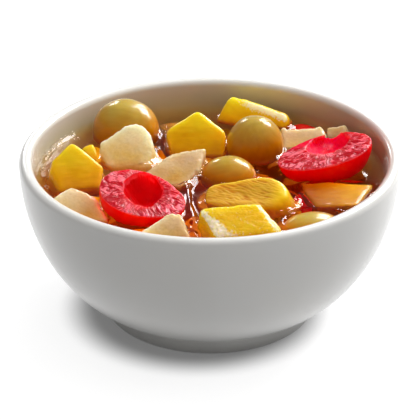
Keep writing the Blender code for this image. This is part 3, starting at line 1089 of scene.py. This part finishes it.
def painted_highlight_band(skin, flesh):
    """1 along that die's upper edge, most at its right, where a painted highlight makes the wet flesh pale.
    """
    x, y, _ = flesh.T / MM
    # The upper edge is found at 14 places along the piece, from the points near each.
    ends = np.linspace(x.min() + 0.5, x.max() - 0.5, 14)
    crest = np.interp(x, ends, [y[np.abs(x - end) < 0.8].max() for end in ends])
    wander = 0.5 * noise_at(flesh, 2.5, 2.2)
    top = skin.blurred(skin.facing(axes_of("peach_back_right")[:, 2], 0.5, 4), 3)
    along = np.clip(1.1 + x / 8, 0, 1.1)
    return top * along * bell(crest - y + wander, 1.8, 2.0)


def broken_edge(skin, flesh, edges):
    """Broad notches along the edges of the pear at the back right, as heights."""
    return 0.9 * MM * skin.blurred(edges, 8) * noise_at(flesh, (2.4, 9, 9), 6.4)


def dice(fruit, settings, material):
    """Model every diced piece of one fruit."""
    for node in LIE:
        if not node.startswith(fruit):
            continue
        piece = rebuilt(node, settings.cell, settings.rounding)
        skin = Skin(piece)
        flesh = own_places(skin, node)
        edges = skin.edges(settings.cell)
        shifted = flesh + shift_of(node, 1.7)
        heights = cut_relief(fruit, shifted, edges)
        torn = 0 * edges
        if node == "peach_wedge":
            heights += wrinkle(skin, flesh, settings.wrinkle)
        if node == "peach_back_right":
            skin.points += shoulder(flesh)
            # That die's band is a painted highlight.
            torn = painted_highlight_band(skin, flesh)
        if node == "pear_back_right":
            heights += broken_edge(skin, flesh, edges)
        if node == "pineapple_front":
            torn = torn_bands(skin, flesh, edges)
            heights -= torn * settings.tear * (0.6 + noise_at(flesh, 0.9, 3.3))
        skin.raise_by(heights)
        mark(skin, node, shifted)
        skin.keep("torn", torn)
        # Edges are marked to be painted paler, as lit where light gets through thin flesh.
        skin.keep("rim", np.clip(skin.blurred(edges, 40) * 1.6, 0, 1))
        hand_over(piece, material, [node])


class SALAD_OT_peaches(bpy.types.Operator):
    """Model the peach dice, the wedge with its stone side up, and the slab that lies awash"""

    bl_idname = "salad.peaches"
    bl_label = "Peaches"

    def execute(self, context):
        settings = context.scene.salad_peach
        dice("peach", settings, peach_flesh(settings))
        return {"FINISHED"}


class SALAD_OT_pears(bpy.types.Operator):
    """Model the pear dice with their gritty cuts and crumbled edges"""

    bl_idname = "salad.pears"
    bl_label = "Pears"

    def execute(self, context):
        settings = context.scene.salad_pear
        dice("pear", settings, pear_flesh(settings))
        return {"FINISHED"}


class SALAD_OT_pineapple(bpy.types.Operator):
    """Model the block of pineapple with its torn edges"""

    bl_idname = "salad.pineapple"
    bl_label = "Pineapple"

    def execute(self, context):
        settings = context.scene.salad_pineapple
        dice("pineapple", settings, pineapple_flesh(settings))
        return {"FINISHED"}


# ---------------------------------------------------------------- round fruit


def place_round(piece, node):
    """Turn a round piece and settle it, and mark it for its material."""
    flesh = Skin(piece).points + shift_of(node, 1.3)
    piece.data.transform(turn_by(LIE[node]))
    settle(piece, node)
    mark(Skin(piece), node, flesh)


def peeled_grape(node, rounds, width, length):
    """An egg-shaped ball, softly dented, with a dimple at the stalk, at the origin."""
    bpy.ops.object.select_all(action="DESELECT")
    bpy.ops.mesh.primitive_ico_sphere_add(subdivisions=rounds, radius=length * MM / 2)
    grape = named("peeled_" + node)
    edit_all(grape)
    bpy.ops.transform.resize(value=(width / length, width / length, 1))
    bpy.ops.object.mode_set(mode="OBJECT")
    finish_with(grape, "SIMPLE_DEFORM", deform_method="TAPER", deform_axis="Z", factor=-0.12)
    skin = Skin(grape)
    stalk = (0, 0, -length * MM / 2)
    from_stalk = np.linalg.norm(skin.points - stalk, axis=1) / MM
    dents = layered_noise(skin.points + shift_of(node, 1.1), RELIEF["grape"])
    # A low ring runs round the stalk's dimple.
    dimple = 0.1 * bell(from_stalk, 2.4, 0.9) - 0.8 * bell(from_stalk, 0, 1.4)
    skin.raise_by((dents + dimple) * MM)
    return grape


class SALAD_OT_grapes(bpy.types.Operator):
    """Model the peeled grapes from balls: egg-shaped, softly dented, with a dimple at the stalk"""

    bl_idname = "salad.grapes"
    bl_label = "Grapes"

    def execute(self, context):
        settings = context.scene.salad_grape
        material = grape_flesh(settings)
        for node, (width, length) in GRAPE_SIZES.items():
            grape = peeled_grape(node, settings.rounds, width, length)
            place_round(grape, node)
            only(grape)
            bpy.ops.object.shade_smooth()
            hand_over(grape, material, [node])
        return {"FINISHED"}


def cherry_half(name, cell, size, taper, stone_at, stone_size, stone_turn, smooth):
    """Half a cherry, cut face up, at the origin."""
    bpy.ops.object.select_all(action="DESELECT")
    bpy.ops.mesh.primitive_uv_sphere_add(segments=120, ring_count=60, radius=1.0)
    half = named(name)
    edit_all(half)
    bpy.ops.mesh.bisect(plane_co=(0, 0, 0.02), plane_no=(0, 0, 1), use_fill=True, clear_outer=True)
    close_up()
    length, width, depth = size
    for vertex in half.data.vertices:
        x, y, z = vertex.co
        vertex.co = Vector((x * length / 2, y * (1 - taper * x) * width / 2, z * depth)) * MM
    stone = cherry_stone(stone_at, stone_size, stone_turn)
    finish_with(half, "BOOLEAN", operation="DIFFERENCE", solver="EXACT", object=stone)
    bpy.data.objects.remove(stone)
    finish_with(half, "REMESH", mode="VOXEL", voxel_size=cell)
    finish_with(half, "SMOOTH", factor=0.5, iterations=3)
    bpy.ops.object.shade_smooth()
    grow_fibres(half, depth, stone_at, stone_size, stone_turn, smooth)
    return half


def cherry_stone(place, size, turn):
    """A slightly lumpy stone, to hollow a cherry half with."""
    bpy.ops.mesh.primitive_uv_sphere_add(segments=64, ring_count=32, radius=0.5)
    stone = named("cherry_stone")
    stone.scale = Vector(size) * MM
    stone.rotation_euler = (0, 0, math.radians(turn))
    stone.location = Vector(place) * MM
    bpy.ops.object.transform_apply(location=True, rotation=True, scale=True)
    skin = Skin(stone)
    skin.raise_by(0.7 * MM * noise_at(skin.points, 3.0, 4.4))
    return stone


def grow_fibres(half, depth, stone_at, stone_size, stone_turn, smooth):
    """Raise fibres that run out from the stone's hollow, and mark the face and the hollow."""
    skin = Skin(half)
    places = skin.points
    turn = math.radians(stone_turn)
    x, y = (places[:, :2] / MM - stone_at[:2]).T
    z = places[:, 2] / MM
    # Around the hollow: how far out in the stone's own radii, and at which angle.
    along = (x * math.cos(turn) + y * math.sin(turn)) / (stone_size[0] / 2)
    across = (y * math.cos(turn) - x * math.sin(turn)) / (stone_size[1] / 2)
    from_stone = np.hypot(along, across) + 0.06 * noise_at(places, 2.0, 7.1)
    angle = np.arctan2(across, along)
    face = skin.blurred(skin.facing((0, 0, 1), 0.35, 3) * (z > -0.6), 4)
    hollow = np.clip((1.04 - from_stone) * 9, 0, 1) * (z > -0.62 * depth)
    hollow *= np.clip((0.2 - z) / 0.8, 0, 1)
    # Behind the hollow a part of the face is smooth like it.
    behind = np.clip((np.sin(angle) - math.cos(math.radians(smooth / 2))) * 5, 0, 1)
    hollow = np.maximum(hollow, face * behind)
    angle += 0.12 * noise_at(places, 3, 8.8)
    rays = np.stack([np.cos(angle), np.sin(angle), from_stone * 0.22], axis=1) * 8 * MM
    clumps = noise_at(places, 2.2, 6.2)
    streak = noise_at(rays, 0.8, 2.6) + 0.4 * clumps
    skin.keep("rays", rays)
    skin.keep("clumps", clumps)
    skin.keep("hollow", hollow)
    skin.keep("cut", np.clip(face + hollow, 0, 1))
    fibres = face * (1 - hollow) * 0.28 * streak
    skin.raise_by((fibres + layered_noise(places, RELIEF["cherry"])) * MM)


class SALAD_OT_cherries(bpy.types.Operator):
    """Model the cherry halves from balls: cut across, hollowed where the stone was, and fibrous"""

    bl_idname = "salad.cherries"
    bl_label = "Cherries"

    def execute(self, context):
        settings = context.scene.salad_cherry
        material = cherry_flesh(settings)
        for node, sizes in CHERRY_SIZES.items():
            cherry = cherry_half("halved_" + node, settings.cell, *sizes)
            place_round(cherry, node)
            hand_over(cherry, material, [node])
        return {"FINISHED"}


# ---------------------------------------------------------------- sunken fruit


def tree_of(meshes):
    """Several meshes as one search tree."""
    points, faces = [], []
    for mesh in meshes:
        start = len(points)
        points += [vertex.co.copy() for vertex in mesh.vertices]
        faces += [[start + corner for corner in face.vertices] for face in mesh.polygons]
    return BVHTree.FromPolygons(points, faces)


def fruit_tree():
    """The fruit that stands out of the syrup, as one search tree."""
    return tree_of([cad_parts[node].data for node in LIE])


def rough_die(size, draw):
    """An uneven die with bevelled edges, at the origin."""
    bpy.ops.mesh.primitive_cube_add(size=1.0)
    shape = named("sunken_die")
    for vertex in shape.data.vertices:
        jitter = Vector([draw.uniform(-0.16, 0.16) for _ in range(3)])
        vertex.co = (vertex.co + jitter) * size
    edit_all(shape)
    bpy.ops.mesh.bevel(offset=1.2 * MM, segments=2, affect="EDGES")
    bpy.ops.object.mode_set(mode="OBJECT")
    finish_with(shape, "REMESH", mode="VOXEL", voxel_size=0.7 * MM)
    finish_with(shape, "SMOOTH", factor=0.5, iterations=3)
    return shape


def plain_ball(size):
    """A ball with this size along each axis, at the origin."""
    bpy.ops.mesh.primitive_ico_sphere_add(subdivisions=4, radius=0.5)
    shape = named("sunken_ball")
    for vertex in shape.data.vertices:
        vertex.co = vertex.co * size
    return shape


def sunken_shape(kind, place, depth, size, turns, draw):
    """One piece of sunken fruit, a die or a ball, with its top this deep under the surface."""
    bpy.ops.object.select_all(action="DESELECT")
    size = Vector(size) * MM
    shape = rough_die(size, draw) if kind in ("peach", "pear") else plain_ball(size)
    skin = Skin(shape)
    skin.keep("flesh", skin.points + draw.uniform(0, 0.2))
    # Sunken flesh has one even colour, and that of a cherry is near the painted shade of its underside.
    skin.keep("rise", np.full(len(skin.points), 0.1 if kind == "cherry" else 0.7))
    skin.raise_by(0.35 * MM * noise_at(skin.points + draw.uniform(0, 0.2), 5))
    shape.data.transform(turn_by(turns))
    top = max(vertex.co.z for vertex in shape.data.vertices)
    height = SYRUP_LEVEL - depth * MM - top
    shape.data.transform(Matrix.Translation((place[0] * MM, place[1] * MM, height)))
    return shape


def sink(shape, laid, wall):
    """Fit a piece between its neighbours and inside the wall; give back its search tree, or None."""
    tries, shrink = 45, 0.97
    down, inwards = 0.15 * MM, 0.4 * MM
    for _ in range(tries):
        tree = tree_of([shape.data])
        points = [vertex.co for vertex in shape.data.vertices]
        middle = sum(points, Vector()) / len(points)
        change = Matrix.Identity(4)
        if any(tree.overlap(other) for other in laid):
            lower = Matrix.Translation(middle - Vector((0, 0, down)))
            change = lower @ Matrix.Scale(shrink, 4) @ Matrix.Translation(-middle)
        if tree.overlap(wall):
            change = Matrix.Translation((*(-middle.xy.normalized() * inwards), 0)) @ change
        if change == Matrix.Identity(4):
            return tree
        shape.data.transform(change)
    return None


class SALAD_OT_sunken(bpy.types.Operator):
    """Model the fruit that lies sunk in the syrup and shows through it"""

    bl_idname = "salad.sunken"
    bl_label = "Sunken fruit"

    def execute(self, context):
        scene = context.scene
        materials = {
            "peach": peach_flesh(scene.salad_peach),
            "pear": pear_flesh(scene.salad_pear),
            "grape": grape_flesh(scene.salad_grape),
            "cherry": cherry_flesh(scene.salad_cherry),
        }
        draw = random.Random(11)
        wall = tree_of([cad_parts["bowl"].data])
        laid = [fruit_tree()]
        shapes = {kind: [] for kind in SUNKEN}
        for kind, pieces in SUNKEN.items():
            for piece in pieces:
                shape = sunken_shape(kind, *piece, draw)
                tree = sink(shape, laid, wall)
                if not tree:
                    raise RuntimeError(f"no room under the surface for a {kind} at {piece[0]}")
                laid.append(tree)
                shapes[kind].append(shape)
        kinds = itertools.cycle(BED_KINDS)
        for radius, count in BED:
            for number, kind in zip(range(count), kinds):
                around = 2 * math.pi * (number + draw.uniform(-0.2, 0.2)) / count
                place = (radius * math.cos(around), radius * math.sin(around))
                size = [draw.uniform(*BED_SIZE) for _ in range(3)]
                turns = [draw.uniform(-BED_TURN, BED_TURN) for _ in range(3)]
                shape = sunken_shape(kind, place, draw.uniform(*BED_DEPTH), size, turns, draw)
                tree = sink(shape, laid, wall)
                # A piece of the bed that finds no room is left out.
                if tree:
                    laid.append(tree)
                    shapes[kind].append(shape)
                else:
                    bpy.data.objects.remove(shape)
        for kind, pieces in shapes.items():
            group = join(pieces, "sunken_" + kind)
            bpy.ops.object.shade_smooth()
            hand_over(group, materials[kind])
        return {"FINISHED"}


# ---------------------------------------------------------------- syrup


def distance_to(points, start, end):
    """How far each point lies from the straight line between two others."""
    along = (points - start) @ (end - start) / ((end - start) @ (end - start))
    nearest = start + np.clip(along, 0, 1)[:, None] * (end - start)
    return np.linalg.norm(points - nearest, axis=1)


def climb_up(syrup, settings, edge):
    """Draw the syrup's surface up where it meets the wall or the fruit."""
    fruit = fruit_tree()
    skin = Skin(syrup)
    top = np.nonzero(skin.points[:, 2] > SYRUP_LEVEL - 0.01 * MM)[0]
    heights = np.zeros(len(skin.points))
    for place in top:
        point = Vector(skin.points[place])
        to_wall = max(edge - point.xy.length, 0.0)
        near = fruit.find_nearest(point)[3]
        rise = math.exp(-to_wall / settings.reach) + math.exp(-near / settings.reach)
        heights[place] = settings.climb * min(rise, 1.0)
        # Inside a piece the surface stays well under the piece's own top.
        way_out, facing, _, room = fruit.ray_cast(point, Vector((0, 0, 1)))
        if way_out and facing.z > 0:
            heights[place] = min(heights[place], room - settings.cover)
    # The surface swells softly, and more along the ridges.
    surface = skin.points[top]
    heights[top] += noise_at(surface, (4.5, 10, 8), 4.2) * settings.swell
    for ridge in RIDGES:
        corners = np.array(ridge) * MM
        lines = zip(corners, corners[1:])
        away = np.min([distance_to(surface[:, :2], *ends) for ends in lines], axis=0)
        heights[top] += settings.ridge * bell(away, 0, settings.ridge_width)
    skin.points[top, 2] += skin.blurred(heights, 5)[top]
    skin.write()


def blow_bubbles(settings, edge):
    """Small bubbles that gather along the wall at the left, and one among the fruit."""
    draw = random.Random(5)
    bubbles = []
    for number in range(settings.bubbles):
        size = draw.uniform(*BUBBLE_RADII) * MM
        around = math.radians(draw.uniform(*BUBBLE_WALL))
        out = edge - size - draw.uniform(0, 1) ** 2 * BUBBLE_REACH * MM
        place = Vector((out * math.cos(around), out * math.sin(around), 0))
        # The first one lies alone among the fruit.
        if number == 0:
            size = LONE_BUBBLE[0] * MM
            place = Vector((*LONE_BUBBLE[1], 0)) * MM
        rise = settings.climb * math.exp(-(edge - place.length) / settings.reach)
        place.z = SYRUP_LEVEL + rise + 0.25 * size
        bpy.ops.object.select_all(action="DESELECT")
        bpy.ops.mesh.primitive_ico_sphere_add(subdivisions=3, radius=size, location=place)
        bubbles.append(named("bubble"))
    group = join(bubbles, "syrup_bubbles")
    bpy.ops.object.shade_smooth()
    return group


class SALAD_OT_syrup(bpy.types.Operator):
    """Fill the bowl with syrup, which climbs a little at the wall and round every piece"""

    bl_idname = "salad.syrup"
    bl_label = "Syrup"

    def execute(self, context):
        settings = context.scene.salad_syrup
        # The syrup reaches just into the wall, so that no gap shows between them.
        into_wall = 0.25 * MM
        wall = inner_wall(context.scene.salad_bowl, 60, into_wall)
        wall = [point for point in wall if point[1] < SYRUP_LEVEL]
        edge = wall[0][0]
        rings = 104
        surface = [(edge * step / rings, SYRUP_LEVEL) for step in range(rings, 0, -1)]
        syrup = turned("amber_syrup", 480, wall[::-1] + surface)
        climb_up(syrup, settings, edge)
        bpy.ops.object.shade_smooth_by_angle(angle=math.radians(50))
        hand_over(syrup, sugar_syrup(settings), ["syrup"])
        hand_over(blow_bubbles(settings, edge), bubble_film())
        return {"FINISHED"}


# ---------------------------------------------------------------- the stage


def studio_room(settings):
    """A dim room, which the camera itself sees as plain white."""
    world = bpy.data.worlds.new("studio_room")
    world.use_nodes = True
    tree = world.node_tree
    tree.nodes.clear()
    seen = add_node(tree, "ShaderNodeLightPath", output="Is Camera Ray")
    limits = {"Value": seen, "To Min": settings.room, "To Max": 1.0}
    strength = add_node(tree, "ShaderNodeMapRange", limits)
    background = add_node(tree, "ShaderNodeBackground", {"Strength": strength})
    add_node(tree, "ShaderNodeOutputWorld", {"Surface": background})
    return world


def add_lamp(name, place, size, power, unseen_by):
    """A soft lamp that looks at the bowl."""
    bpy.ops.object.light_add(type="AREA", location=place)
    lamp = bpy.context.object
    lamp.name = name
    lamp.data.shape = "RECTANGLE"
    lamp.data.size, lamp.data.size_y = size
    lamp.data.energy = power
    rim = Vector((0, 0, BOWL_HEIGHT))
    lamp.rotation_euler = (Vector(place) - rim).to_track_quat("Z", "Y").to_euler()
    if unseen_by:
        setattr(lamp, unseen_by, False)


def add_camera(settings):
    """The camera, which looks down on the bowl from the front."""
    back = Vector((0, -math.cos(settings.elevation), math.sin(settings.elevation)))
    rim = Vector((0, 0, BOWL_HEIGHT))
    bpy.ops.object.camera_add(location=rim + back * settings.distance)
    camera = bpy.context.object
    camera.name = "camera"
    down = settings.elevation + settings.aim_below
    camera.rotation_euler = (math.radians(90) - down, 0, 0)
    camera.data.lens = settings.lens
    camera.data.clip_start = 0.01
    return camera


class SALAD_OT_stage(bpy.types.Operator):
    """Set up the white table, the lamps, the pale room and the camera"""

    bl_idname = "salad.stage"
    bl_label = "Stage"

    def execute(self, context):
        settings = context.scene.salad_stage
        scene = context.scene
        bpy.ops.object.select_all(action="DESELECT")
        bpy.ops.mesh.primitive_circle_add(vertices=128, radius=4.0, fill_type="NGON", location=(0, 0, 0))
        floor = named("studio_floor")
        floor.data.materials.append(white_acrylic(settings))
        for name, (place, size, power, share, unseen_by) in LAMPS.items():
            add_lamp(name, place, size, getattr(settings, power) * share, unseen_by)
        scene.world = studio_room(settings)
        scene.view_settings.view_transform = "Standard"
        scene.camera = add_camera(settings)
        return {"FINISHED"}


# ---------------------------------------------------------------- the add-on


OPERATORS = (
    SALAD_OT_bowl,
    SALAD_OT_peaches,
    SALAD_OT_pears,
    SALAD_OT_pineapple,
    SALAD_OT_grapes,
    SALAD_OT_cherries,
    SALAD_OT_sunken,
    SALAD_OT_syrup,
    SALAD_OT_stage,
)
SETTINGS = {
    "salad_bowl": BowlSettings,
    "salad_syrup": SyrupSettings,
    "salad_peach": PeachSettings,
    "salad_pear": PearSettings,
    "salad_pineapple": PineappleSettings,
    "salad_grape": GrapeSettings,
    "salad_cherry": CherrySettings,
    "salad_stage": StageSettings,
}


class SALAD_PT_panel(bpy.types.Panel):
    """Lists the steps of the salad and their settings in the sidebar"""

    bl_label = "Fruit Salad"
    bl_idname = "SALAD_PT_panel"
    bl_space_type = "VIEW_3D"
    bl_region_type = "UI"
    bl_category = "Salad"

    def draw(self, context):
        for operator in OPERATORS:
            self.layout.operator(operator.bl_idname)
        for name, group in SETTINGS.items():
            box = self.layout.box()
            for field in group.__annotations__:
                box.prop(getattr(context.scene, name), field)


def register():
    """Register the settings, the operators and the panel."""
    for name, group in SETTINGS.items():
        bpy.utils.register_class(group)
        setattr(bpy.types.Scene, name, PointerProperty(type=group))
    for step in (*OPERATORS, SALAD_PT_panel):
        bpy.utils.register_class(step)


def unregister():
    """Take out all that register added."""
    for step in (SALAD_PT_panel, *reversed(OPERATORS)):
        bpy.utils.unregister_class(step)
    for name, group in SETTINGS.items():
        delattr(bpy.types.Scene, name)
        bpy.utils.unregister_class(group)


def main():
    """Model the whole salad."""
    register()
    bpy.ops.salad.bowl()
    bpy.ops.salad.peaches()
    bpy.ops.salad.pears()
    bpy.ops.salad.pineapple()
    bpy.ops.salad.grapes()
    bpy.ops.salad.cherries()
    bpy.ops.salad.sunken()
    bpy.ops.salad.syrup()
    bpy.ops.salad.stage()


if __name__ == "__main__":
    main()
